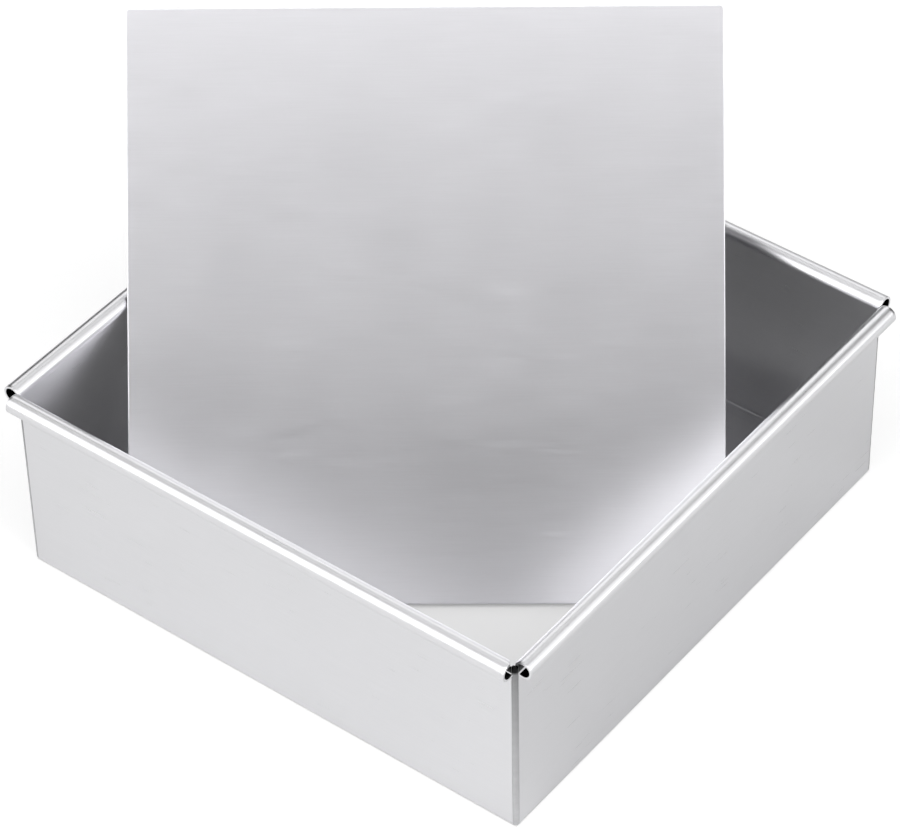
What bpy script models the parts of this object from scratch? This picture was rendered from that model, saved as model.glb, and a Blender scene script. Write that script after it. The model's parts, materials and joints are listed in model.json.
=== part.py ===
"""Square brownie pan whose loose bottom plate stands leaning inside it.

Four formed sheet sides are joined by four corner welds. Each side is one sheet: an inward
ledge at the bottom, a small bend, the upright wall and an outward rolled rim with open ends.
The loose plate stands on the ledges across the front right corner and leans on the left rim.

Units are metres and +Z is up. The origin is on the table, under the middle of the box that
holds the pan and the leaning plate. The front is at -Y and the right is at +X.
"""

import math

import bmesh
import bpy
from mathutils import Vector

# Pan
PAN_SIDE = 0.2032
PAN_HEIGHT = 0.0770
WALL_SHEET = 0.0008
BEND_RADIUS = 0.0015
LEDGE_WIDTH = 0.0254
RIM_RADIUS = 0.0033
RIM_TURN = math.radians(300)
RIM_SETBACK = 0.0004

# Loose plate
PLATE_SIDE = 0.1990
PLATE_SHEET = 0.0010
PLATE_CORNER_RADIUS = 0.0014
PLATE_EDGE_RADIUS = 0.0002
PLATE_YAW = math.radians(36.8)
PLATE_RIGHT_CLEARANCE = 0.0021

# Clearance between pieces that touch
GAP = 0.0003

# Fineness of the round stretches
BEND_STEPS = 6
RIM_STEPS = 36
CORNER_STEPS = 8
PLATE_CORNER_STEPS = 5
PLATE_EDGE_STEPS = 2
SHARP_ANGLE = math.radians(30)
PLATE_EDGE_ANGLE = math.radians(60)
MERGE_DISTANCE = 0.00001

# Colour and roughness of each bare metal
SATIN = ((0.80, 0.81, 0.82), 0.32)
GROUND_WELD = ((0.70, 0.71, 0.72), 0.40)
BRUSHED = ((0.78, 0.78, 0.79), 0.30)

# Worked out from the dimensions above
HALF_SIDE = PAN_SIDE / 2
INNER_HALF = HALF_SIDE - WALL_SHEET
CORNER_AXIS = HALF_SIDE - BEND_RADIUS
BEND_MID_RADIUS = BEND_RADIUS - WALL_SHEET / 2
RIM_MID_RADIUS = RIM_RADIUS - WALL_SHEET / 2
RIM_CENTRE_Z = PAN_HEIGHT - RIM_RADIUS
RIM_CENTRE_OUT = HALF_SIDE + RIM_RADIUS - WALL_SHEET
RIM_REACH = RIM_CENTRE_OUT + RIM_RADIUS
WALL_END = CORNER_AXIS - GAP
RIM_END = HALF_SIDE - RIM_SETBACK
PLATE_FOOT_Z = WALL_SHEET + GAP

# Far enough past the sheet to cut it through
CUT_MARGIN = 0.0100

# The plate's lean and its foot depend on each other, and are settled in turns from here
FIRST_LEAN = math.radians(45)
SETTLING_TURNS = 20

SIDE_NAMES = ("front_wall", "right_wall", "back_wall", "left_wall")
CORNER_NAMES = (
    "front_right_corner_weld",
    "back_right_corner_weld",
    "back_left_corner_weld",
    "front_left_corner_weld",
)


def clear_scene():
    """Removes every object from the scene."""
    for obj in list(bpy.data.objects):
        bpy.data.objects.remove(obj, do_unlink=True)


def new_collection(name):
    """A collection of that name in the scene."""
    collection = bpy.data.collections.new(name)
    bpy.context.scene.collection.children.link(collection)
    return collection


def metal(name, finish):
    """A bare metal with one colour and one roughness."""
    color, roughness = finish
    material = bpy.data.materials.new(name)
    material.use_nodes = True
    shader = material.node_tree.nodes["Principled BSDF"]
    shader.inputs["Base Color"].default_value = (*color, 1)
    shader.inputs["Roughness"].default_value = roughness
    shader.inputs["Metallic"].default_value = 1
    return material


def new_object(name, mesh, collection, parent=None):
    """An object with that mesh, or an empty where the mesh is None."""
    obj = bpy.data.objects.new(name, mesh)
    collection.objects.link(obj)
    obj.parent = parent
    return obj


def arc(centre, radius, start, end, steps):
    """Points from start to end about centre, both ends included, as (out, up) pairs."""
    angles = [start + (end - start) * i / steps for i in range(steps + 1)]
    return [(centre[0] + radius * math.cos(a), centre[1] + radius * math.sin(a)) for a in angles]


def chain(bm, points):
    """Vertices at the points with an edge between each two; returns the edges."""
    verts = [bm.verts.new(point) for point in points]
    return [bm.edges.new(pair) for pair in zip(verts, verts[1:])]


def strip(points, sweep):
    """An open surface left by a chain of points as it is moved along sweep."""
    mesh = bpy.data.meshes.new("strip")
    bm = bmesh.new()
    moved = bmesh.ops.extrude_edge_only(bm, edges=chain(bm, points))
    far = [element for element in moved["geom"] if isinstance(element, bmesh.types.BMVert)]
    bmesh.ops.translate(bm, verts=far, vec=sweep)
    bm.to_mesh(mesh)
    bm.free()
    return mesh


def solidify(obj, thickness):
    """Gives an open sheet its thickness, half to each side."""
    modifier = obj.modifiers.new("Sheet", "SOLIDIFY")
    modifier.thickness = thickness
    modifier.offset = 0
    modifier.use_even_offset = True


def cut(obj, cutter):
    """Takes the cutter's space out of an object."""
    modifier = obj.modifiers.new("Cut", "BOOLEAN")
    modifier.operation = "DIFFERENCE"
    modifier.solver = "EXACT"
    modifier.object = cutter


def box_cutter(name, low, high, collection):
    """A closed box between two corners, only used for cutting."""
    mesh = bpy.data.meshes.new(name)
    bm = bmesh.new()
    bmesh.ops.create_cube(bm, size=1)
    low, high = Vector(low), Vector(high)
    bmesh.ops.scale(bm, verts=bm.verts, vec=high - low)
    bmesh.ops.translate(bm, verts=bm.verts, vec=(low + high) / 2)
    bm.to_mesh(mesh)
    bm.free()
    obj = new_object(name, mesh, collection)
    obj.hide_render = True
    obj.display_type = "WIRE"
    return obj


def smooth(mesh):
    """Shades the round stretches smooth and keeps the sheet's edges sharp."""
    mesh.shade_smooth()
    mesh.set_sharp_from_angle(angle=SHARP_ANGLE)


def finished_mesh(obj, name):
    """The mesh of an object with its modifiers applied; the object is removed."""
    graph = bpy.context.evaluated_depsgraph_get()
    mesh = bpy.data.meshes.new_from_object(obj.evaluated_get(graph))
    mesh.name = name
    bpy.data.objects.remove(obj, do_unlink=True)
    smooth(mesh)
    return mesh


def side_profile():
    """Middle line of a side's sheet, as (out, up) from the ledge's edge to the rim's lip."""
    bend_centre = (CORNER_AXIS, BEND_RADIUS)
    rim_centre = (RIM_CENTRE_OUT, RIM_CENTRE_Z)
    ledge_edge = (HALF_SIDE - LEDGE_WIDTH, WALL_SHEET / 2)
    bend = arc(bend_centre, BEND_MID_RADIUS, -math.pi / 2, 0, BEND_STEPS)
    rim = arc(rim_centre, RIM_MID_RADIUS, math.pi, math.pi - RIM_TURN, RIM_STEPS)
    return [ledge_edge] + bend + rim


def side_mesh(cutters):
    """The front side's sheet, trimmed at both ends; the other sides are turned copies."""
    left_end = [(-RIM_END, -out, up) for out, up in side_profile()]
    sheet = strip(left_end, sweep=(2 * RIM_END, 0, 0))
    side = new_object("side", sheet, bpy.context.scene.collection)
    solidify(side, WALL_SHEET)
    outside = HALF_SIDE + GAP
    for sign, end in ((-1, "left"), (1, "right")):
        # The wall and the ledge stop at the corner weld, and only the rim runs on.
        near, far = sorted((sign * WALL_END, sign * (WALL_END + CUT_MARGIN)))
        wall_cut = box_cutter(
            f"wall_cut_{end}",
            (near, -outside, -CUT_MARGIN),
            (far, 0, RIM_CENTRE_Z),
            cutters,
        )
        cut(side, wall_cut)
        # The ledges and the rims of neighbours meet along a mitre with a gap between them.
        mitre_cut = box_cutter(
            f"mitre_cut_{end}",
            (-GAP / 2, -PAN_SIDE, -CUT_MARGIN),
            (PAN_SIDE, PAN_SIDE, PAN_HEIGHT + CUT_MARGIN),
            cutters,
        )
        mitre_cut.rotation_euler.z = math.pi / 2 - sign * math.pi / 4
        cut(side, mitre_cut)
    bpy.context.view_layer.update()
    return finished_mesh(side, "formed_side")


def corner_mesh():
    """A quarter of a turned sheet: the rounded upright corner and its closed lower end."""
    bend = arc((0, BEND_RADIUS), BEND_MID_RADIUS, 0, -math.pi / 2, BEND_STEPS)
    profile = [(BEND_MID_RADIUS, RIM_CENTRE_Z - GAP)] + bend
    mesh = bpy.data.meshes.new("corner_profile")
    bm = bmesh.new()
    chain(bm, [(out, 0, up) for out, up in profile])
    bm.to_mesh(mesh)
    bm.free()
    corner = new_object("corner", mesh, bpy.context.scene.collection)
    turn = corner.modifiers.new("Quarter turn", "SCREW")
    turn.angle = math.pi / 2
    turn.steps = CORNER_STEPS
    turn.render_steps = CORNER_STEPS
    turn.use_merge_vertices = True
    turn.merge_threshold = MERGE_DISTANCE
    solidify(corner, WALL_SHEET)
    bpy.context.view_layer.update()
    return finished_mesh(corner, "corner_weld")


def corner_saving(along_part, up_part):
    """How far the plate's rounded corner stays short of a sharp one in some direction.

    The direction is given by its parts along the plate's lower edge and up the plate.
    """
    rounded = math.hypot(along_part, up_part)
    return PLATE_CORNER_RADIUS * (abs(along_part) + abs(up_part) - rounded)


def up_slope(lean):
    """Direction up the plate, for its lean from upright."""
    level = math.sin(lean)
    return Vector((-level * math.sin(PLATE_YAW), level * math.cos(PLATE_YAW), math.cos(lean)))


def plate_pose():
    """Where the plate stands: the middle of its lower back edge and its lean from upright.

    The lower edge spans the front right corner and touches the front wall, and the back of
    the left edge rests on the left rim.
    """
    along = Vector((math.cos(PLATE_YAW), math.sin(PLATE_YAW), 0))
    rim_centre = Vector((-RIM_CENTRE_OUT, RIM_CENTRE_Z))
    lean = FIRST_LEAN
    for _ in range(SETTLING_TURNS):
        up = up_slope(lean)
        forward_x = PLATE_SHEET * math.cos(lean) * math.sin(PLATE_YAW)
        forward_y = PLATE_SHEET * math.cos(lean) * math.cos(PLATE_YAW)
        reach_x = along.x * PLATE_SIDE / 2 - corner_saving(along.x, up.x) + forward_x
        reach_y = along.y * PLATE_SIDE / 2 - corner_saving(along.y, up.y) + forward_y
        foot_x = INNER_HALF - PLATE_RIGHT_CLEARANCE - reach_x
        foot_y = -INNER_HALF + GAP + reach_y
        foot = Vector((foot_x, foot_y, PLATE_FOOT_Z))
        left_foot = foot - along * PLATE_SIDE / 2
        to_rim = rim_centre - Vector((left_foot.x, left_foot.z))
        to_centre = math.atan2(-to_rim.x, to_rim.y)
        past_rim = math.asin((RIM_RADIUS + GAP) / to_rim.length)
        lean = math.atan(math.tan(to_centre - past_rim) / math.sin(PLATE_YAW))
    return foot, lean


def pan_centre(foot, lean):
    """Place of the pan's middle that puts the whole object's box over the origin."""
    up = up_slope(lean)
    along = Vector((math.cos(PLATE_YAW), math.sin(PLATE_YAW), 0))
    least_x = foot.x - along.x * PLATE_SIDE / 2 + up.x * PLATE_SIDE
    least_x += corner_saving(along.x, up.x)
    most_y = foot.y + along.y * PLATE_SIDE / 2 + up.y * PLATE_SIDE
    most_y -= corner_saving(along.y, up.y)
    return Vector((-(least_x + RIM_REACH) / 2, -(most_y - RIM_REACH) / 2, 0))


def add_plate(collection, parent, material, foot, lean):
    """The loose plate, with its origin in the middle of its lower back edge."""
    mesh = bpy.data.meshes.new("loose_bottom_plate")
    bm = bmesh.new()
    bmesh.ops.create_grid(bm, x_segments=1, y_segments=1, size=PLATE_SIDE / 2)
    bmesh.ops.translate(bm, verts=bm.verts, vec=(0, PLATE_SIDE / 2, PLATE_SHEET / 2))
    bm.to_mesh(mesh)
    bm.free()
    mesh.materials.append(material)
    plate = new_object("loose_bottom_plate", mesh, collection, parent)
    corners = plate.modifiers.new("Round corners", "BEVEL")
    corners.affect = "VERTICES"
    corners.width = PLATE_CORNER_RADIUS
    corners.segments = PLATE_CORNER_STEPS
    solidify(plate, PLATE_SHEET)
    edges = plate.modifiers.new("Soft edges", "BEVEL")
    edges.width = PLATE_EDGE_RADIUS
    edges.segments = PLATE_EDGE_STEPS
    edges.limit_method = "ANGLE"
    edges.angle_limit = PLATE_EDGE_ANGLE
    plate.location = foot
    plate.rotation_euler = (math.pi / 2 - lean, 0, PLATE_YAW)
    return plate


def main():
    """Builds the pan's sides and corners and stands the plate in it."""
    clear_scene()
    pan = new_collection("square_brownie_pan")
    cutters = new_collection("cutters")
    satin = metal("satin_aluminium", SATIN)
    ground = metal("ground_weld_aluminium", GROUND_WELD)
    brushed = metal("brushed_aluminium", BRUSHED)

    foot, lean = plate_pose()
    frame = new_object("pan_frame", None, pan)
    frame.location = pan_centre(foot, lean)

    sheet = side_mesh(cutters)
    sheet.materials.append(satin)
    for turn, name in enumerate(SIDE_NAMES):
        side = new_object(name, sheet, pan, frame)
        side.rotation_euler.z = turn * math.pi / 2

    weld = corner_mesh()
    weld.materials.append(ground)
    for turn, name in enumerate(CORNER_NAMES):
        angle = (turn - 1) * math.pi / 2
        corner = new_object(name, weld, pan, frame)
        corner.rotation_euler.z = angle
        outward = angle + math.pi / 4
        reach = CORNER_AXIS * math.sqrt(2)
        corner.location = (reach * math.cos(outward), reach * math.sin(outward), 0)

    add_plate(pan, frame, brushed, foot, lean)


main()
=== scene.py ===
"""Looks of a square brownie pan with its loose bottom plate leaning inside it, in bare aluminium.

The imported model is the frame. The four formed sides, the four corner welds and the loose plate
are modelled again here with finer meshes, rounded sheet edges and procedural metal finishes, each
in the place of the node that it stands for. Units are metres, +Z is up, the front is at -Y.
"""

import json
import logging
import math
from collections.abc import Callable
from dataclasses import dataclass, field, replace
from enum import Enum

import bmesh
import bpy
from mathutils import Matrix, Vector, noise


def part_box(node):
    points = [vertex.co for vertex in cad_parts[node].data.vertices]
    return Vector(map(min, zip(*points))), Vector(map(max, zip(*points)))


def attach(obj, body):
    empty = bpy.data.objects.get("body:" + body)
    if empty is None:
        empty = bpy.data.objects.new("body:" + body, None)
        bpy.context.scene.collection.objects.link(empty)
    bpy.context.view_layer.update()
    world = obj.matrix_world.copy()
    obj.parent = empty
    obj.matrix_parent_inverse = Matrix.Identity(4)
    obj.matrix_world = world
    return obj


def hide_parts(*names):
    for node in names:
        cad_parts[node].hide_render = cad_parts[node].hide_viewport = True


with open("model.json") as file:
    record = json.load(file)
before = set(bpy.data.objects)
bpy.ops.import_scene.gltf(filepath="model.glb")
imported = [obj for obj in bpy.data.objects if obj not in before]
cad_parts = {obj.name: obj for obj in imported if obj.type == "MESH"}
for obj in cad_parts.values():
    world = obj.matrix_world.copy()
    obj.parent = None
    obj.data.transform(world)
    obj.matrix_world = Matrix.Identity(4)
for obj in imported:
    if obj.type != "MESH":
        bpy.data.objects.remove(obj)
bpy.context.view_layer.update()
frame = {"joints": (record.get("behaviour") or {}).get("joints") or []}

GRAIN_MAP = "grain"
# The vertex layer that holds painted shade, from 0 to 1.
PAINTED_SHADE_LAYER = "shade"
CUT_TOLERANCE = 1e-7
MERGE_DISTANCE = 1e-6
WHITE = (1.0, 1.0, 1.0, 1.0)
LOG = logging.getLogger("brownie_pan")

# What an input socket takes: another node's output, a number, or a vector or colour.
Source = bpy.types.NodeSocket | float | tuple


class Side(Enum):
    """The pan's sides, each with the quarter turns that take the front side to it."""

    FRONT = 0
    RIGHT = 1
    BACK = 2
    LEFT = 3

    @property
    def node(self) -> str:
        """Name of the side's node in the frame."""
        return f"{self.name.lower()}_wall"


class Corner(Enum):
    """The pan's corners, each with the quarter turns that take the back right corner to it."""

    BACK_RIGHT = 0
    BACK_LEFT = 1
    FRONT_LEFT = 2
    FRONT_RIGHT = 3

    @property
    def node(self) -> str:
        """Name of the corner's weld in the frame."""
        return f"{self.name.lower()}_corner_weld"


class Slot(Enum):
    """The record's material slots."""

    SHEET = "wall_sheet"
    WELD = "corner_weld"
    PLATE = "bottom_plate"


@dataclass(frozen=True)
class Metal:
    """One bare aluminium finish.

    Lengths are in metres. The grain is the fine lines of rolling, brushing or grinding, and the
    clouds are soft uneven patches. A tone is the share by which a pattern lightens or darkens the
    metal, and shade_depth is the share by which the shade layer, which holds painted shade,
    darkens it.
    """

    name: str
    color: tuple[float, float, float]
    roughness: float
    anisotropy: float
    grain_length: float
    grain_width: float
    grain_depth: float
    grain_tone: float
    grain_roughness: float
    cloud_size: float
    cloud_tone: float
    cloud_roughness: float
    shade_depth: float = 0.0


SATIN = Metal(
    name="satin_sheet",
    color=(0.812, 0.812, 0.828),
    roughness=0.30,
    anisotropy=0.25,
    grain_length=0.0200,
    grain_width=0.00040,
    grain_depth=0.0000012,
    grain_tone=0.035,
    grain_roughness=0.07,
    cloud_size=0.0300,
    cloud_tone=0.015,
    cloud_roughness=0.02,
)
# The roll's inside and the crevice under it, darkened by the shade layer: painted shade.
ROLL_INSIDE_PAINTED_SHADE = replace(SATIN, name="roll_inside_painted_shade", shade_depth=0.98)
BRUSHED = Metal(
    name="brushed_plate",
    color=(0.797, 0.792, 0.822),
    roughness=0.33,
    anisotropy=0.45,
    grain_length=0.0180,
    grain_width=0.00050,
    grain_depth=0.0000018,
    grain_tone=0.036,
    grain_roughness=0.05,
    cloud_size=0.0250,
    cloud_tone=0.010,
    cloud_roughness=0.015,
)
# Ground weld metal, darkened by the shade layer: black painted shade in the notches, and darker
# towards the top below them.
GROUND_WITH_PAINTED_SHADE = Metal(
    name="ground_weld_painted_shade",
    color=(0.70, 0.70, 0.715),
    roughness=0.42,
    anisotropy=0.0,
    grain_length=0.0020,
    grain_width=0.0020,
    grain_depth=0.0000100,
    grain_tone=0.12,
    grain_roughness=0.10,
    cloud_size=0.0060,
    cloud_tone=0.10,
    cloud_roughness=0.10,
    shade_depth=0.98,
)


class NodeSheet:
    """A node tree under construction, with short calls to add and join nodes."""

    def __init__(self, tree: bpy.types.NodeTree) -> None:
        """Starts an empty tree.

        Args:
            tree: the node tree, whose nodes are cleared.
        """
        self.tree = tree
        tree.nodes.clear()

    def add(self, kind: str, **settings: object) -> bpy.types.Node:
        """Adds a node and sets its properties.

        Args:
            kind: the node's type name.
            settings: its properties, by name.

        Returns:
            The new node.
        """
        node = self.tree.nodes.new(kind)
        for name, value in settings.items():
            setattr(node, name, value)
        return node

    def feed(self, source: Source, node: bpy.types.Node, socket: str | int) -> None:
        """Links an output to an input socket, or writes a plain value on it.

        Args:
            source: an output socket or a plain value.
            node: the node that takes it.
            socket: the input's name or number.
        """
        if isinstance(source, bpy.types.NodeSocket):
            self.tree.links.new(source, node.inputs[socket])
        else:
            node.inputs[socket].default_value = source

    def math(self, operation: str, first: Source, second: Source) -> bpy.types.NodeSocket:
        """Works out a number from two others.

        Args:
            operation: name of the operation, such as MULTIPLY.
            first: an output socket or a number.
            second: an output socket or a number.

        Returns:
            The result's output socket.
        """
        node = self.add("ShaderNodeMath", operation=operation)
        self.feed(first, node, 0)
        self.feed(second, node, 1)
        return node.outputs[0]

    def vector(
        self, operation: str, first: Source, second: Source | None = None
    ) -> bpy.types.NodeSocket:
        """Works out a vector, or its length, from a vector.

        Args:
            operation: name of the operation, such as SUBTRACT.
            first: an output socket or a vector.
            second: the other vector, or the factor of a SCALE; none for a LENGTH or ABSOLUTE.

        Returns:
            The result's output socket.
        """
        node = self.add("ShaderNodeVectorMath", operation=operation)
        self.feed(first, node, 0)
        if second is not None:
            self.feed(second, node, "Scale" if operation == "SCALE" else 1)
        return node.outputs["Value" if operation == "LENGTH" else "Vector"]

    def between(self, share: Source, low: float, high: float) -> bpy.types.NodeSocket:
        """Runs evenly from one number to another.

        Args:
            share: output socket of a value from 0 to 1.
            low: the number at 0.
            high: the number at 1.

        Returns:
            The result's output socket.
        """
        return self.math("ADD", self.math("MULTIPLY", share, high - low), low)

    def soft_step(
        self, value: Source, reach: tuple[float, float], target: tuple[float, float]
    ) -> bpy.types.NodeSocket:
        """Steps softly from one number to another.

        Args:
            value: output socket of the running value.
            reach: the values at which the step begins and ends.
            target: the numbers before and after it.

        Returns:
            The result's output socket.
        """
        node = self.add("ShaderNodeMapRange", interpolation_type="SMOOTHSTEP")
        for socket, number in zip(("From Min", "From Max", "To Min", "To Max"), (*reach, *target)):
            self.feed(number, node, socket)
        self.feed(value, node, "Value")
        return node.outputs["Result"]

    def noise(self, place: Source, detail: float, roughness: float = 0.5) -> bpy.types.NodeSocket:
        """Noise whose features are about one unit of its coordinates across.

        Args:
            place: output socket of the coordinates.
            detail: number of finer layers.
            roughness: how strong the finer layers are.

        Returns:
            The noise's value, from 0 to 1.
        """
        node = self.add("ShaderNodeTexNoise", noise_dimensions="3D")
        self.feed(place, node, "Vector")
        self.feed(1.0, node, "Scale")
        self.feed(detail, node, "Detail")
        self.feed(roughness, node, "Roughness")
        return node.outputs["Fac"]


def new_group(
    name: str, inputs: dict[str, str], outputs: dict[str, str]
) -> tuple[NodeSheet, bpy.types.Node, bpy.types.Node]:
    """Starts a shader node group with named sockets.

    Args:
        name: the group's name.
        inputs: socket types by name.
        outputs: socket types by name.

    Returns:
        The tree under construction, the node that gives its inputs and the one that takes its
        outputs.
    """
    tree = bpy.data.node_groups.new(name, "ShaderNodeTree")
    for direction, sockets in (("INPUT", inputs), ("OUTPUT", outputs)):
        for socket, kind in sockets.items():
            tree.interface.new_socket(socket, in_out=direction, socket_type=f"NodeSocket{kind}")
    sheet = NodeSheet(tree)
    return sheet, sheet.add("NodeGroupInput"), sheet.add("NodeGroupOutput")


class Finisher:
    """Makes the metal materials from two shared pattern groups.

    A pattern runs from 0 to 1 about PATTERN_MIDDLE. The grain has fine lines and, for the rest
    of its strength, bands that are BAND_WIDTHS times as wide.
    """

    FINER_LAYERS = 3.0
    BAND_WIDTHS = 7.0
    FINE_SHARE = 0.75
    PATTERN_MIDDLE = 0.5
    QUARTER_TURN = 0.25

    def __init__(self) -> None:
        """Builds the shared groups once."""
        self.grain = self._grain_group()
        self.clouds = self._cloud_group()

    def _grain_group(self) -> bpy.types.NodeTree:
        """Lines left by rolling or brushing, along the first axis of the grain map.

        Returns:
            The group, which puts out the grain's height from 0 to 1.
        """
        inputs = {"Place": "Vector", "Length": "Float", "Width": "Float"}
        sheet, given, result = new_group("directional_grain", inputs, {"Grain": "Float"})
        axes = sheet.add("ShaderNodeSeparateXYZ")
        sheet.feed(given.outputs["Place"], axes, 0)
        along = sheet.math("DIVIDE", axes.outputs["X"], given.outputs["Length"])
        layers = []
        for widths in (1.0, self.BAND_WIDTHS):
            width = sheet.math("MULTIPLY", given.outputs["Width"], widths)
            place = sheet.add("ShaderNodeCombineXYZ")
            sheet.feed(along, place, "X")
            sheet.feed(sheet.math("DIVIDE", axes.outputs["Y"], width), place, "Y")
            sheet.feed(widths, place, "Z")
            layers.append(sheet.noise(place.outputs[0], self.FINER_LAYERS))
        lines = sheet.math("MULTIPLY", layers[0], self.FINE_SHARE)
        bands = sheet.math("MULTIPLY", layers[1], 1 - self.FINE_SHARE)
        sheet.feed(sheet.math("ADD", lines, bands), result, "Grain")
        return sheet.tree

    def _cloud_group(self) -> bpy.types.NodeTree:
        """Soft uneven patches left by pickling and handling.

        Returns:
            The group, which puts out a mask from 0 to 1.
        """
        inputs = {"Place": "Vector", "Size": "Float"}
        sheet, given, result = new_group("soft_clouds", inputs, {"Cloud": "Float"})
        per_metre = sheet.math("DIVIDE", 1.0, given.outputs["Size"])
        place = sheet.vector("SCALE", given.outputs["Place"], per_metre)
        sheet.feed(sheet.noise(place, self.FINER_LAYERS), result, "Cloud")
        return sheet.tree

    def _patterns(
        self, sheet: NodeSheet, metal: Metal
    ) -> tuple[bpy.types.NodeSocket, bpy.types.NodeSocket]:
        """Places the shared groups in a material, with the finish's own sizes.

        Args:
            sheet: the material's tree.
            metal: the finish.

        Returns:
            Output sockets of the grain, which follows the grain map, and of the clouds, which
            follow Object coordinates.
        """
        surface = sheet.add("ShaderNodeUVMap", uv_map=GRAIN_MAP)
        grain = sheet.add("ShaderNodeGroup", node_tree=self.grain)
        sheet.feed(surface.outputs["UV"], grain, "Place")
        sheet.feed(metal.grain_length, grain, "Length")
        sheet.feed(metal.grain_width, grain, "Width")
        place = sheet.add("ShaderNodeTexCoord")
        clouds = sheet.add("ShaderNodeGroup", node_tree=self.clouds)
        sheet.feed(place.outputs["Object"], clouds, "Place")
        sheet.feed(metal.cloud_size, clouds, "Size")
        return grain.outputs["Grain"], clouds.outputs["Cloud"]

    def _swing(
        self,
        sheet: NodeSheet,
        patterns: tuple[bpy.types.NodeSocket, bpy.types.NodeSocket],
        shares: tuple[float, float],
        middle: float,
    ) -> bpy.types.NodeSocket:
        """Moves a number up and down by the patterns.

        Args:
            sheet: the material's tree.
            patterns: output sockets of the grain and of the clouds.
            shares: the most that each moves the number either way.
            middle: the number where both patterns are at their middle.

        Returns:
            The result's output socket.
        """
        parts = []
        for pattern, share in zip(patterns, shares):
            centred = sheet.math("SUBTRACT", pattern, self.PATTERN_MIDDLE)
            parts.append(sheet.math("MULTIPLY", centred, share / self.PATTERN_MIDDLE))
        return sheet.math("ADD", sheet.math("ADD", *parts), middle)

    def material(self, metal: Metal) -> bpy.types.Material:
        """Dresses one finish.

        Args:
            metal: the finish.

        Returns:
            The material, which reads the piece's grain map and Object coordinates.
        """
        material = bpy.data.materials.new(metal.name)
        material.use_nodes = True
        sheet = NodeSheet(material.node_tree)
        patterns = self._patterns(sheet, metal)

        tone = self._swing(sheet, patterns, (metal.grain_tone, metal.cloud_tone), 1.0)
        # Painted shade: the shade layer darkens the metal in the rolls' insides and at the welds.
        if metal.shade_depth:
            shade = sheet.add("ShaderNodeAttribute", attribute_name=PAINTED_SHADE_LAYER)
            darker = sheet.math("MULTIPLY", shade.outputs["Fac"], metal.shade_depth)
            tone = sheet.math("MULTIPLY", tone, sheet.math("SUBTRACT", 1.0, darker))
        shares = (metal.grain_roughness, metal.cloud_roughness)
        roughness = self._swing(sheet, patterns, shares, metal.roughness)
        bump = sheet.add("ShaderNodeBump")
        sheet.feed(patterns[0], bump, "Height")
        sheet.feed(metal.grain_depth, bump, "Distance")

        shader = sheet.add("ShaderNodeBsdfPrincipled")
        sheet.feed(sheet.vector("SCALE", metal.color, tone), shader, "Base Color")
        sheet.feed(roughness, shader, "Roughness")
        sheet.feed(bump.outputs["Normal"], shader, "Normal")
        sheet.feed(1.0, shader, "Metallic")
        if metal.anisotropy:
            tangent = sheet.add("ShaderNodeTangent", direction_type="UV_MAP", uv_map=GRAIN_MAP)
            sheet.feed(tangent.outputs[0], shader, "Tangent")
            sheet.feed(metal.anisotropy, shader, "Anisotropic")
            # The highlight is drawn out across the grain, a quarter turn from its lines.
            sheet.feed(self.QUARTER_TURN, shader, "Anisotropic Rotation")
        output = sheet.add("ShaderNodeOutputMaterial")
        sheet.feed(shader.outputs[0], output, "Surface")
        return material


@dataclass(frozen=True)
class Deburring:
    """How the cut edges of a sheet are rounded.

    The radius is in metres. Edges sharper than the angle, in radians, are rounded.
    """

    radius: float
    segments: int
    angle: float


DEBURRED = Deburring(radius=0.00012, segments=2, angle=math.radians(50))


def verts_of(parts: list[bmesh.types.BMVert | bmesh.types.BMEdge]) -> list[bmesh.types.BMVert]:
    """The vertices among the parts that an operator gives back."""
    return [part for part in parts if isinstance(part, bmesh.types.BMVert)]


def lay_grain_map(
    bm: bmesh.types.BMesh, place: Callable[[bmesh.types.BMVert], tuple[float, float]]
) -> None:
    """Lays the grain map on a shape, in metres.

    Args:
        bm: the shape.
        place: gives a vertex's place on the map, along the grain and across it.
    """
    grain = bm.loops.layers.uv.new(GRAIN_MAP)
    for face in bm.faces:
        for loop in face.loops:
            loop[grain].uv = place(loop.vert)


def finished_piece(
    bm: bmesh.types.BMesh,
    name: str,
    node: str,
    body: str,
    slot: Slot,
    finishes: list[bpy.types.Material],
) -> bpy.types.Object:
    """Turns a bmesh into a piece that stands for a node and rides on its body.

    Args:
        bm: the finished shape in the row frame; it is freed.
        name: the piece's name.
        node: the node that it replaces.
        body: the body that it rides on.
        slot: the material slot of the record; not used.
        finishes: its materials.

    Returns:
        The new object, at the origin.
    """
    mesh = bpy.data.meshes.new(name)
    bm.to_mesh(mesh)
    bm.free()
    for material in finishes:
        mesh.materials.append(material)
    mesh.shade_smooth()
    piece = bpy.data.objects.new(name, mesh)
    bpy.context.scene.collection.objects.link(piece)
    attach(piece, body)
    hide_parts(node)
    LOG.info("%s stands for %s: %d vertices", name, node, len(mesh.vertices))
    return piece


def thicken(piece: bpy.types.Object, thickness: float, far_finish: int) -> None:
    """Gives a middle surface the sheet's thickness, half to each side.

    Args:
        piece: an object whose mesh is an open surface.
        thickness: of the sheet.
        far_finish: number of the material of the face that its normals point away from.
    """
    modifier = piece.modifiers.new("Sheet", "SOLIDIFY")
    modifier.thickness = thickness
    modifier.offset = 0
    modifier.use_even_offset = True
    modifier.material_offset = far_finish


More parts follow.
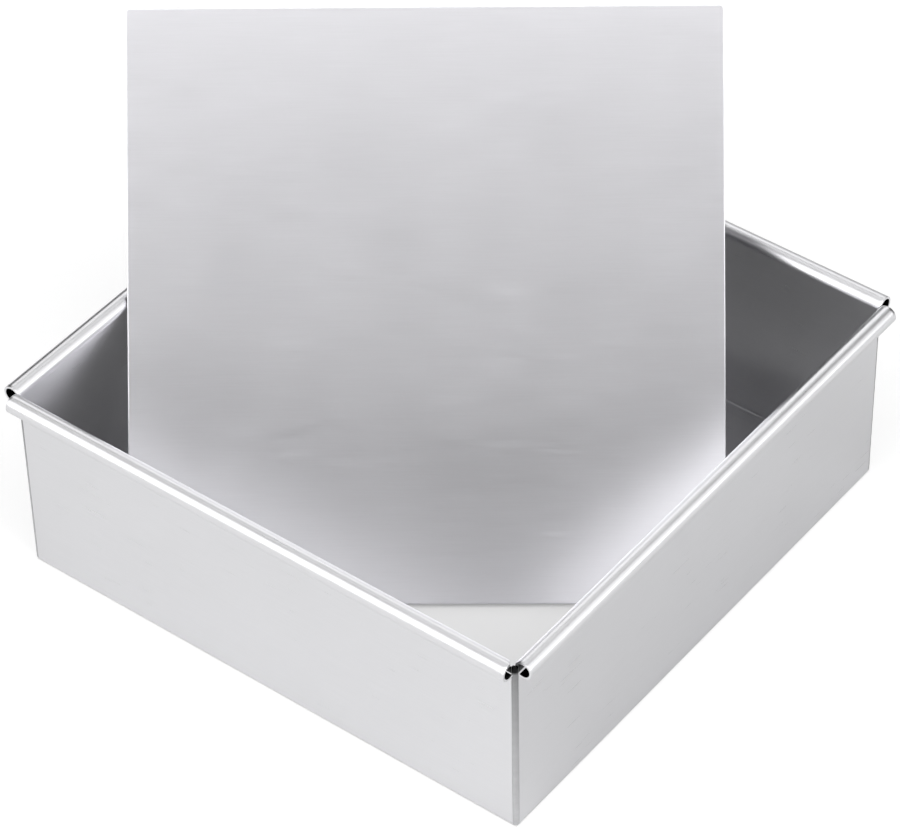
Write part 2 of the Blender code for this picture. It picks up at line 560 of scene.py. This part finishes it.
def soften_edges(piece: bpy.types.Object, rounding: Deburring) -> None:
    """Rounds the sharp edges of a piece and keeps its flats flat.

    Args:
        piece: the object.
        rounding: the size of the rounding and the edges that get it.
    """
    bevel = piece.modifiers.new("Deburred edges", "BEVEL")
    bevel.affect = "EDGES"
    bevel.width = rounding.radius
    bevel.segments = rounding.segments
    bevel.profile = 0.5
    bevel.material = -1
    bevel.limit_method = "ANGLE"
    bevel.angle_limit = rounding.angle
    normals = piece.modifiers.new("Flat faces", "WEIGHTED_NORMAL")
    normals.mode = "FACE_AREA"
    normals.keep_sharp = True


@dataclass
class PanShell:
    """The four formed sides and the four corner welds.

    A notch is the room between two rims at a corner, wide at the near corner and narrow at the
    others. The painted shade of the notches and of the rolls' insides begins notch_depth below the
    rims' middle. weld_shade is how dark a weld is painted just under its notch and at its foot. A
    line of vertices stands flat_margin from each bend, so that the flats beside it shade flat.
    """

    side: float = 0.2032
    height: float = 0.0770
    sheet: float = 0.0008
    bend_radius: float = 0.0015
    ledge_width: float = 0.0254
    rim_radius: float = 0.0033
    rim_turn: float = math.radians(300)
    rim_setback: float = 0.0004
    gap: float = 0.00008
    rim_notch: float = 0.0009
    deep_notch: float = 0.0036
    weld_top_drop: float = 0.0003
    notch_depth: float = 0.0035
    notch_fade: float = 0.0004
    weld_shade: tuple[float, float] = (0.57, 0.10)
    bend_steps: int = 12
    rim_steps: int = 80
    columns: int = 40
    flat_margin: float = 0.0004
    weld_steps: int = 12
    weld_rows: int = 60
    weld_ripple: float = 0.00005
    ripples_per_metre: float = 400.0
    deburring: Deburring = DEBURRED
    centre: Vector = field(init=False)

    def __post_init__(self) -> None:
        """Reads the pan's middle from the frame."""
        low = Vector(map(min, *(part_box(side.node)[0] for side in Side)))
        high = Vector(map(max, *(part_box(side.node)[1] for side in Side)))
        self.centre = Vector(((low.x + high.x) / 2, (low.y + high.y) / 2, 0))

    @property
    def half(self) -> float:
        """From the pan's middle to the outer face of a wall."""
        return self.side / 2

    @property
    def corner_axis(self) -> float:
        """From the pan's middle to the axis of a corner or a bend."""
        return self.half - self.bend_radius

    @property
    def bend_mid(self) -> float:
        """Radius of a bend or a corner at the middle of the sheet."""
        return self.bend_radius - self.sheet / 2

    @property
    def rim_centre(self) -> tuple[float, float]:
        """Centre of the rolled rim, as its distance from the pan's middle and its height."""
        return self.half + self.rim_radius - self.sheet, self.height - self.rim_radius

    @property
    def wall_end(self) -> float:
        """Half the length of a wall between its corner welds."""
        return self.corner_axis - self.gap

    @property
    def rim_end(self) -> float:
        """Half the length of a rolled rim."""
        return self.half - self.rim_setback

    def _extend(
        self, bm: bmesh.types.BMesh, end: bmesh.types.BMVert, out: float, up: float
    ) -> bmesh.types.BMVert:
        """Draws the profile on in a straight line.

        Args:
            bm: the profile.
            end: its last vertex.
            out: distance of the new end from the pan's middle.
            up: its height.

        Returns:
            The new last vertex.
        """
        drawn = bmesh.ops.extrude_vert_indiv(bm, verts=[end])["verts"][0]
        drawn.co = (end.co.x, -out, up)
        return drawn

    def _curl(
        self,
        bm: bmesh.types.BMesh,
        end: bmesh.types.BMVert,
        centre: tuple[float, float],
        angle: float,
        steps: int,
    ) -> bmesh.types.BMVert:
        """Draws the profile on in an arc.

        Args:
            bm: the profile.
            end: its last vertex.
            centre: of the arc, as its distance from the pan's middle and its height.
            angle: turn about +X.
            steps: number of steps in it.

        Returns:
            The new last vertex.
        """
        out, up = centre
        spun = bmesh.ops.spin(
            bm, geom=[end], cent=(0, -out, up), axis=(1, 0, 0), angle=angle, steps=steps
        )
        return verts_of(spun["geom_last"])[0]

    def _profile(self, bm: bmesh.types.BMesh) -> None:
        """Draws the side's section, from the ledge's edge over the bend and the wall to the rim.

        Args:
            bm: an empty bmesh; the section is drawn in its plane x = -rim_end.
        """
        ledge_up = self.sheet / 2
        end = bm.verts.new((-self.rim_end, self.ledge_width - self.half, ledge_up))
        end = self._extend(bm, end, self.corner_axis - self.flat_margin, ledge_up)
        end = self._extend(bm, end, self.corner_axis, ledge_up)
        bend = (self.corner_axis, self.bend_radius)
        end = self._curl(bm, end, bend, -math.pi / 2, self.bend_steps)
        wall_out = self.half - self.sheet / 2
        rim_up = self.rim_centre[1]
        shade_start = rim_up - self.notch_depth
        for up in (
            self.bend_radius + self.flat_margin,
            shade_start,
            shade_start + self.notch_fade,
            rim_up - self.flat_margin,
            rim_up,
        ):
            end = self._extend(bm, end, wall_out, up)
        self._curl(bm, end, self.rim_centre, self.rim_turn, self.rim_steps)

    def _section_lengths(self, bm: bmesh.types.BMesh) -> bmesh.types.BMLayerItem:
        """Stores on the profile how far along the sheet each vertex is, and its painted shade.

        Args:
            bm: the profile, a single chain of edges in its drawn order.

        Returns:
            The layer that holds the lengths.
        """
        layer = bm.verts.layers.float.new("section_length")
        shade = bm.verts.layers.float.new(PAINTED_SHADE_LAYER)
        bm.verts.ensure_lookup_table()
        before = bm.verts[0]
        edge = before.link_edges[0]
        while edge:
            vert = edge.other_vert(before)
            vert[layer] = before[layer] + edge.calc_length()
            before = vert
            edge = next((other for other in vert.link_edges if other is not edge), None)
        # The painted shade fades in from notch_depth before the roll begins, over notch_fade.
        roll_mid = self.rim_radius - self.sheet / 2
        roll_start = before[layer] - self.rim_turn * roll_mid
        for vert in bm.verts:
            share = (vert[layer] - roll_start + self.notch_depth) / self.notch_fade
            vert[shade] = min(1.0, max(0.0, share))
        return layer

    def _sweep(self, bm: bmesh.types.BMesh) -> None:
        """Draws the section out along the front side, from one end of its rim to the other.

        Args:
            bm: the profile, at the side's left end.
        """
        wall = [self.wall_end * (2 * i / self.columns - 1) for i in range(self.columns + 1)]
        edges = list(bm.edges)
        position = -self.rim_end
        for target in [*wall, self.rim_end]:
            drawn = bmesh.ops.extrude_edge_only(bm, edges=edges)["geom"]
            verts = verts_of(drawn)
            edges = [part for part in drawn if isinstance(part, bmesh.types.BMEdge)]
            edges = [edge for edge in edges if all(vert in verts for vert in edge.verts)]
            bmesh.ops.translate(bm, verts=verts, vec=(target - position, 0, 0))
            position = target

    def _clear_corners(self, bm: bmesh.types.BMesh) -> None:
        """Deletes the wall and the bend past the wall's ends, where the welds go.

        Args:
            bm: the swept sheet of the front side.
        """
        past_wall = [
            face
            for face in bm.faces
            if abs(face.calc_center_median().x) > self.wall_end
            and face.calc_center_median().z < self.rim_centre[1]
            and -face.calc_center_median().y < self.half
        ]
        bmesh.ops.delete(bm, geom=past_wall, context="FACES")

    def _mitre(self, bm: bmesh.types.BMesh, right_notch: float) -> None:
        """Cuts the ends of the ledge and of the rim's inner edge at 45 degrees.

        Args:
            bm: the swept sheet of the front side.
            right_notch: width of the notch between the rims at the side's right end.
        """
        for sign, notch in ((-1, self.rim_notch), (1, right_notch)):
            normal = Vector((sign, 1, 0)).normalized()
            zones = ((0, self.bend_radius, self.gap), (self.rim_centre[1], self.height, notch))
            for low, high, gap in zones:
                faces = [face for face in bm.faces if low < face.calc_center_median().z < high]
                bounds = dict.fromkeys(part for f in faces for part in (*f.verts, *f.edges))
                bmesh.ops.bisect_plane(
                    bm,
                    geom=[*faces, *bounds],
                    dist=CUT_TOLERANCE,
                    plane_co=-normal * gap / 2,
                    plane_no=normal,
                    clear_outer=True,
                )

    def side_sheet(self, side: Side) -> bmesh.types.BMesh:
        """Sweeps the section along the front side and trims it.

        Args:
            side: the side that it is for; the front one has the deeper notch, at its right.

        Returns:
            The middle surface of the side's sheet, still at the front, about the pan's middle.
        """
        bm = bmesh.new()
        self._profile(bm)
        layer = self._section_lengths(bm)
        self._sweep(bm)
        lay_grain_map(bm, lambda vert: (vert.co.x, vert[layer]))
        self._clear_corners(bm)
        self._mitre(bm, self.deep_notch if side is Side.FRONT else self.rim_notch)
        bmesh.ops.recalc_face_normals(bm, faces=bm.faces)
        return bm

    def _weld_section(self, bm: bmesh.types.BMesh) -> None:
        """Draws the weld's section, from its top down the corner and in to the corner's axis.

        Args:
            bm: an empty bmesh; the section is drawn in its plane y = 0, about the axis.
        """
        top = self.rim_centre[1] - self.weld_top_drop
        end = bm.verts.new((self.bend_mid, 0, top))
        for row in range(1, self.weld_rows + 1):
            up = top + (self.bend_radius - top) * row / self.weld_rows
            end = bmesh.ops.extrude_vert_indiv(bm, verts=[end])["verts"][0]
            end.co.z = up
        bmesh.ops.spin(
            bm,
            geom=[end],
            cent=(0, 0, self.bend_radius),
            axis=(0, 1, 0),
            angle=math.pi / 2,
            steps=self.bend_steps,
        )

    def _weld_shade(self, up: float) -> float:
        """How dark the weld is painted: black in the notch, as painted shade, and paler further
        down.

        Args:
            up: height above the floor.

        Returns:
            The shade, from 0 to 1.
        """
        notch = self.rim_centre[1] - self.notch_depth
        top, bottom = self.weld_shade
        tint = bottom + (top - bottom) * (up / notch) ** 2
        # Above the notch's bottom the weld fades to black: painted shade.
        if up <= notch:
            return tint
        return min(1.0, tint + (up - notch) / self.notch_fade)

    def _dress_weld(self, bm: bmesh.types.BMesh) -> None:
        """Stores how dark the weld is painted along its height, and ripples its upright face.

        Args:
            bm: the weld, about the corner's axis.
        """
        shade = bm.verts.layers.float.new(PAINTED_SHADE_LAYER)
        for vert in bm.verts:
            vert[shade] = self._weld_shade(vert.co.z)
            outward = Vector((vert.co.x, vert.co.y, 0))
            along = Vector((0, vert.co.z * self.ripples_per_metre, 0))
            if outward.length > self.bend_mid / 2:
                vert.co += outward.normalized() * (noise.noise(along) * self.weld_ripple)

    def corner_sheet(self) -> bmesh.types.BMesh:
        """Turns the weld's section through a quarter about the corner's axis.

        Returns:
            The middle surface of the back right corner's weld, about the pan's middle.
        """
        bm = bmesh.new()
        self._weld_section(bm)
        bmesh.ops.spin(
            bm,
            geom=[*bm.verts, *bm.edges],
            cent=(0, 0, 0),
            axis=(0, 0, 1),
            angle=math.pi / 2,
            steps=self.weld_steps,
            use_merge=False,
        )
        bmesh.ops.remove_doubles(bm, verts=bm.verts, dist=MERGE_DISTANCE)
        lay_grain_map(
            bm, lambda vert: (vert.co.z, math.atan2(vert.co.y, vert.co.x) * self.bend_mid)
        )
        self._dress_weld(bm)
        bmesh.ops.recalc_face_normals(bm, faces=bm.faces)
        bmesh.ops.translate(bm, verts=bm.verts, vec=(self.corner_axis, self.corner_axis, 0))
        return bm

    def _place(self, bm: bmesh.types.BMesh, quarter_turns: int) -> None:
        """Turns a shape about the pan's middle and moves it to the pan.

        Args:
            bm: a shape about the pan's middle.
            quarter_turns: number of quarter turns.
        """
        turn = Matrix.Rotation(quarter_turns * math.pi / 2, 4, "Z")
        bmesh.ops.transform(bm, matrix=Matrix.Translation(self.centre) @ turn, verts=bm.verts)

    def build(self, sheets: list[bpy.types.Material], weld: bpy.types.Material) -> None:
        """Makes and places the sides and the welds.

        Args:
            sheets: finishes of the sides' inner face and of their outer face, which is the
                inside of the roll further up and is painted with shade there.
            weld: finish of the welds, painted with shade in the notches.
        """
        for side in Side:
            bm = self.side_sheet(side)
            self._place(bm, side.value)
            name = f"{side.name.lower()}_side_sheet"
            piece = finished_piece(bm, name, side.node, "pan", Slot.SHEET, sheets)
            thicken(piece, self.sheet, 1)
            soften_edges(piece, self.deburring)
        for corner in Corner:
            bm = self.corner_sheet()
            self._place(bm, corner.value)
            name = f"{corner.name.lower()}_seam"
            piece = finished_piece(bm, name, corner.node, "pan", Slot.WELD, [weld])
            thicken(piece, self.sheet, 0)
            soften_edges(piece, self.deburring)


@dataclass
class LoosePlate:
    """The loose bottom plate, brushed across and with a coined border round its front face.

    The border has one step for each of its widths, and is edge_drop lower at the outline.
    """

    node: str = "loose_bottom_plate"
    side: float = 0.1990
    sheet: float = 0.0010
    corner_radius: float = 0.0014
    corner_segments: int = 8
    edge_widths: tuple[float, ...] = (0.0002, 0.0002, 0.0002)
    edge_drop: float = 0.00007
    cells: int = 24
    deburring: Deburring = DEBURRED

    @property
    def half(self) -> float:
        """From the plate's middle to its outline."""
        return self.side / 2

    @property
    def border(self) -> float:
        """Width of the coined border."""
        return sum(self.edge_widths)

    def _pose(self) -> Matrix:
        """Where the plate stands, from its node's box and the axis that it slides along.

        Returns:
            The matrix that takes the flat plate's own axes to the row frame.
        """
        low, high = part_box(self.node)
        up = Vector(frame["joints"][0]["axis"]).normalized()
        along = up.cross(Vector((0, 0, 1))).normalized()
        turn = Matrix((along, up, along.cross(up))).transposed().to_4x4()
        return Matrix.Translation((low + high) / 2) @ turn

    def _blank(self, bm: bmesh.types.BMesh) -> None:
        """Cuts the plate, with its corners rounded.

        Args:
            bm: an empty bmesh; the plate lies flat about its origin.
        """
        bmesh.ops.create_grid(bm, x_segments=1, y_segments=1, size=self.half)
        bmesh.ops.translate(bm, verts=bm.verts, vec=(0, 0, self.sheet / 2))
        bmesh.ops.bevel(
            bm,
            geom=list(bm.verts),
            offset=self.corner_radius,
            affect="VERTICES",
            segments=self.corner_segments,
            profile=0.5,
            material=-1,
        )
        lower = bmesh.ops.extrude_face_region(bm, geom=list(bm.faces))["geom"]
        bmesh.ops.translate(bm, verts=verts_of(lower), vec=(0, 0, -self.sheet))
        bmesh.ops.recalc_face_normals(bm, faces=bm.faces)

    def _from_outline(self, place: Vector) -> float:
        """Distance of a point of the border from the plate's outline.

        Args:
            place: the point; one further in than the corners' centres counts as there.

        Returns:
            The distance, which is 0 on the outline.
        """
        core = self.half - self.corner_radius
        past = Vector((max(abs(place.x) - core, 0), max(abs(place.y) - core, 0)))
        return self.corner_radius - past.length

    def _coin_border(self, bm: bmesh.types.BMesh) -> None:
        """Presses the border of the front face down towards the outline.

        Args:
            bm: the plain plate.
        """
        front = max(bm.faces, key=lambda face: face.normal.z)
        for width in self.edge_widths:
            bmesh.ops.inset_region(bm, faces=[front], thickness=width, use_even_offset=True)
        for vert in bm.verts:
            if vert.co.z > 0:
                share = max(0.0, 1 - self._from_outline(vert.co) / self.border)
                vert.co.z -= self.edge_drop * share * share

    def _grid(self, bm: bmesh.types.BMesh) -> None:
        """Divides the two large faces into cells, inside the border.

        Args:
            bm: the plate.
        """
        reach = self.half - self.border
        for axis in (Vector((1, 0, 0)), Vector((0, 1, 0))):
            for i in range(1, self.cells):
                at = reach * (2 * i / self.cells - 1)
                bmesh.ops.bisect_plane(
                    bm,
                    geom=[*bm.verts, *bm.edges, *bm.faces],
                    dist=CUT_TOLERANCE,
                    plane_co=axis * at,
                    plane_no=axis,
                )

    def build(self, material: bpy.types.Material) -> None:
        """Makes and places the plate.

        Args:
            material: its finish.
        """
        bm = bmesh.new()
        self._blank(bm)
        self._coin_border(bm)
        self._grid(bm)
        lay_grain_map(bm, lambda vert: (vert.co.x, vert.co.y))
        bmesh.ops.transform(bm, matrix=self._pose(), verts=bm.verts)
        piece = finished_piece(
            bm, "loose_plate_sheet", self.node, "loose_bottom", Slot.PLATE, [material]
        )
        soften_edges(piece, self.deburring)


@dataclass(frozen=True)
class Shot:
    """The camera, fitted to the photograph's edges, about the pan's middle.

    Pixels are those of the 900 x 827 frame, with whole numbers at their edges.
    """

    width_px: float = 900
    height_px: float = 827
    azimuth: float = math.radians(38.5807)
    elevation: float = math.radians(43.3072)
    roll: float = math.radians(-1.4993)
    distance: float = 1.43534
    aim_height: float = 0.0386
    slide_right: float = -0.00679
    slide_up: float = 0.00215
    focal_px: float = 4287.68
    middle_x_px: float = 434.26
    middle_y_px: float = 425.16
    sensor: float = 36.0
    near: float = 0.05
    far: float = 20.0

    @property
    def away(self) -> Vector:
        """Level direction from the camera to the pan."""
        return Vector((-math.sin(self.azimuth), math.cos(self.azimuth), 0))

    @property
    def right(self) -> Vector:
        """Level direction to the camera's right."""
        return Vector((math.cos(self.azimuth), math.sin(self.azimuth), 0))

    def place(self, centre: Vector) -> None:
        """Makes the scene's camera.

        Args:
            centre: the pan's middle on the floor.
        """
        level, rise = math.cos(self.elevation), math.sin(self.elevation)
        back = -self.away * level + Vector((0, 0, rise))
        upright = back.cross(self.right)
        right = self.right * math.cos(self.roll) + upright * math.sin(self.roll)
        up = back.cross(right)
        turn = Matrix((right, up, back)).transposed().to_4x4()
        aim = centre + Vector((0, 0, self.aim_height))
        place = aim + back * self.distance + right * self.slide_right + up * self.slide_up
        data = bpy.data.cameras.new("camera")
        data.sensor_width = self.sensor
        data.lens = self.focal_px * self.sensor / self.width_px
        data.shift_x = (self.width_px / 2 - self.middle_x_px) / self.width_px
        data.shift_y = (self.middle_y_px - self.height_px / 2) / self.width_px
        data.clip_start, data.clip_end = self.near, self.far
        camera = bpy.data.objects.new("camera", data)
        camera.matrix_world = Matrix.Translation(place) @ turn
        bpy.context.scene.collection.objects.link(camera)
        bpy.context.scene.camera = camera


@dataclass(frozen=True)
class Softbox:
    """A flat even lamp that faces the pan, placed by the angles at which the pan sees it.

    All angles are in degrees. The bearing is 0 straight away from the camera, 90 to its right
    and 180 behind it.
    """

    name: str
    bearing: float
    elevation: float
    width: float
    height: float
    radiance: float


SOFTBOXES = (
    Softbox("top_edge_softbox", 180, 59, 62, 8, 3.59),
    Softbox("top_softbox", 180, 70, 62, 14, 2.15),
    Softbox("overhead_softbox", 180, 86, 56, 18, 1.36),
    Softbox("top_back_softbox", 0, 68, 60, 18, 1.11),
    Softbox("left_softbox", -108, 34, 60, 48, 1.43),
    Softbox("left_low_softbox", -110, 10, 50, 18, 0.90),
    Softbox("right_softbox", 108, 36, 60, 48, 1.17),
    Softbox("right_low_softbox", 110, 12, 50, 20, 1.14),
    Softbox("front_right_softbox", 140, 26, 26, 36, 1.85),
    Softbox("front_left_softbox", -140, 26, 26, 36, 1.30),
    Softbox("low_front_softbox", 180, 10, 84, 16, 1.30),
    Softbox("backdrop_softbox", 5, 38, 44, 28, 1.28),
    Softbox("low_back_softbox", 12, 12, 22, 22, 0.47),
)


@dataclass(frozen=True)
class Studio:
    """Floor, world and lamps.

    A tone is the paper's own colour, and a lift is what is added to it for the camera or for the
    metal. The square of paper inside the pan, shaded_half to each side of its middle, gets painted
    shade: a darker tone, a smaller lift for the camera and no lift for the metal. The dim patch of
    paper is the one at the pan's right that the metal sees nearly without lift, a painted shadow
    that shows only in the metal's reflections; dim_edge is where it begins and ends to fade, in
    shares of its size.
    """

    floor_size: float = 8.0
    floor_drop: float = 0.0001
    paper_roughness: float = 0.9
    floor_tone: float = 0.62
    painted_shade_tone: float = 0.55
    floor_lift: float = 0.45
    painted_shade_lift: float = 0.28
    reflected_lift: float = 0.17
    painted_shadow_lift: float = 0.02
    dim_place: tuple[float, float, float] = (0.165, 0.01, 0.0)
    dim_size: tuple[float, float, float] = (0.085, 0.15, 1.0)
    dim_edge: tuple[float, float] = (0.75, 1.35)
    shaded_half: float = 0.1006
    shaded_fade: float = 0.0010
    lamp_distance: float = 3.0
    lamp_aim: float = 0.05

    def _outside(self, sheet: NodeSheet, from_middle: Source) -> bpy.types.NodeSocket:
        """Tells the open paper from the paper inside the pan, which is painted with shade.

        Args:
            sheet: the paper's tree.
            from_middle: output socket of the place about the pan's middle.

        Returns:
            Output socket of a mask, 1 outside the pan and 0 inside it.
        """
        axes = sheet.add("ShaderNodeSeparateXYZ")
        sheet.feed(sheet.vector("ABSOLUTE", from_middle), axes, 0)
        across = sheet.math("MAXIMUM", axes.outputs["X"], axes.outputs["Y"])
        fade = (self.shaded_half, self.shaded_half + self.shaded_fade)
        return sheet.soft_step(across, fade, (0.0, 1.0))

    def _mirrored_lift(self, sheet: NodeSheet, from_middle: Source) -> bpy.types.NodeSocket:
        """The lift that the metal sees in the open paper, nearly none in the dim patch, a painted
        shadow.

        Args:
            sheet: the paper's tree.
            from_middle: output socket of the place about the pan's middle.

        Returns:
            Output socket of the lift.
        """
        from_patch = sheet.vector("SUBTRACT", from_middle, self.dim_place)
        shares = sheet.vector("DIVIDE", from_patch, self.dim_size)
        reach = sheet.vector("LENGTH", shares)
        return sheet.soft_step(reach, self.dim_edge, (self.painted_shadow_lift, self.reflected_lift))

    def _floor_material(self, centre: Vector) -> bpy.types.Material:
        """Pale paper that the camera and the metal see as white where nothing shades it.

        Args:
            centre: the pan's middle, round which the paper inside the pan is painted with shade.

        Returns:
            The material.
        """
        material = bpy.data.materials.new("pale_paper")
        material.use_nodes = True
        sheet = NodeSheet(material.node_tree)
        rays = sheet.add("ShaderNodeLightPath")
        place = sheet.add("ShaderNodeTexCoord")
        from_middle = sheet.vector("SUBTRACT", place.outputs["Object"], tuple(centre))
        # Inside the pan the paper gets painted shade: a darker tone, a smaller camera lift and no
        # metal lift.
        outside = self._outside(sheet, from_middle)
        tone = sheet.between(outside, self.painted_shade_tone, self.floor_tone)
        seen = sheet.between(outside, self.painted_shade_lift, self.floor_lift)
        mirrored = sheet.math("MULTIPLY", outside, self._mirrored_lift(sheet, from_middle))
        lift = sheet.math(
            "ADD",
            sheet.math("MULTIPLY", rays.outputs["Is Camera Ray"], seen),
            sheet.math("MULTIPLY", rays.outputs["Is Glossy Ray"], mirrored),
        )
        shader = sheet.add("ShaderNodeBsdfPrincipled")
        sheet.feed(tone, shader, "Base Color")
        sheet.feed(self.paper_roughness, shader, "Roughness")
        sheet.feed(0.0, shader, "Specular IOR Level")
        sheet.feed(WHITE, shader, "Emission Color")
        sheet.feed(lift, shader, "Emission Strength")
        output = sheet.add("ShaderNodeOutputMaterial")
        sheet.feed(shader.outputs[0], output, "Surface")
        return material

    def _lay_floor(self, centre: Vector) -> None:
        """Lays the paper that the pan stands on.

        Args:
            centre: the pan's middle on the floor.
        """
        bm = bmesh.new()
        bmesh.ops.create_grid(bm, x_segments=1, y_segments=1, size=self.floor_size / 2)
        bmesh.ops.translate(bm, verts=bm.verts, vec=(0, 0, -self.floor_drop))
        mesh = bpy.data.meshes.new("floor")
        bm.to_mesh(mesh)
        bm.free()
        mesh.materials.append(self._floor_material(centre))
        floor = bpy.data.objects.new("floor", mesh)
        bpy.context.scene.collection.objects.link(floor)

    def _set_world(self) -> None:
        """Makes a world that is white for the camera and gives no light."""
        world = bpy.data.worlds.new("studio")
        world.use_nodes = True
        sheet = NodeSheet(world.node_tree)
        rays = sheet.add("ShaderNodeLightPath")
        background = sheet.add("ShaderNodeBackground")
        sheet.feed(WHITE, background, "Color")
        sheet.feed(rays.outputs["Is Camera Ray"], background, "Strength")
        output = sheet.add("ShaderNodeOutputWorld")
        sheet.feed(background.outputs[0], output, "Surface")
        bpy.context.scene.world = world

    def _hang_softbox(self, box: Softbox, shot: Shot, centre: Vector) -> None:
        """Hangs one lamp.

        Args:
            box: the lamp.
            shot: the camera, whose directions place it.
            centre: the pan's middle on the floor.
        """
        bearing, elevation = math.radians(box.bearing), math.radians(box.elevation)
        level = shot.away * math.cos(bearing) + shot.right * math.sin(bearing)
        toward = level * math.cos(elevation) + Vector((0, 0, math.sin(elevation)))
        width = 2 * self.lamp_distance * math.tan(math.radians(box.width / 2))
        height = 2 * self.lamp_distance * math.tan(math.radians(box.height / 2))
        data = bpy.data.lights.new(box.name, "AREA")
        data.shape = "RECTANGLE"
        data.size, data.size_y = width, height
        data.energy = box.radiance * math.pi * width * height
        lamp = bpy.data.objects.new(box.name, data)
        lamp.location = centre + Vector((0, 0, self.lamp_aim)) + toward * self.lamp_distance
        lamp.rotation_mode = "QUATERNION"
        lamp.rotation_quaternion = (-toward).to_track_quat("-Z", "Y")
        lamp.visible_camera = False
        bpy.context.scene.collection.objects.link(lamp)
        LOG.info("%s at %.3f, %.3f, %.3f", box.name, *lamp.location)

    def build(self, shot: Shot, centre: Vector) -> None:
        """Makes the floor, the world and the lamps.

        Args:
            shot: the camera, whose directions place the lamps.
            centre: the pan's middle on the floor.
        """
        self._lay_floor(centre)
        self._set_world()
        for box in SOFTBOXES:
            self._hang_softbox(box, shot, centre)


def main() -> None:
    """Builds the camera, the pan, the plate and the studio."""
    logging.basicConfig(level=logging.INFO, format="%(message)s")
    bpy.context.scene.view_settings.view_transform = "Standard"
    shell = PanShell()
    shot = Shot()
    shot.place(shell.centre)
    finisher = Finisher()
    sheets = [finisher.material(SATIN), finisher.material(ROLL_INSIDE_PAINTED_SHADE)]
    shell.build(sheets, finisher.material(GROUND_WITH_PAINTED_SHADE))
    LoosePlate().build(finisher.material(BRUSHED))
    Studio().build(shot, shell.centre)


if __name__ == "__main__":
    main()
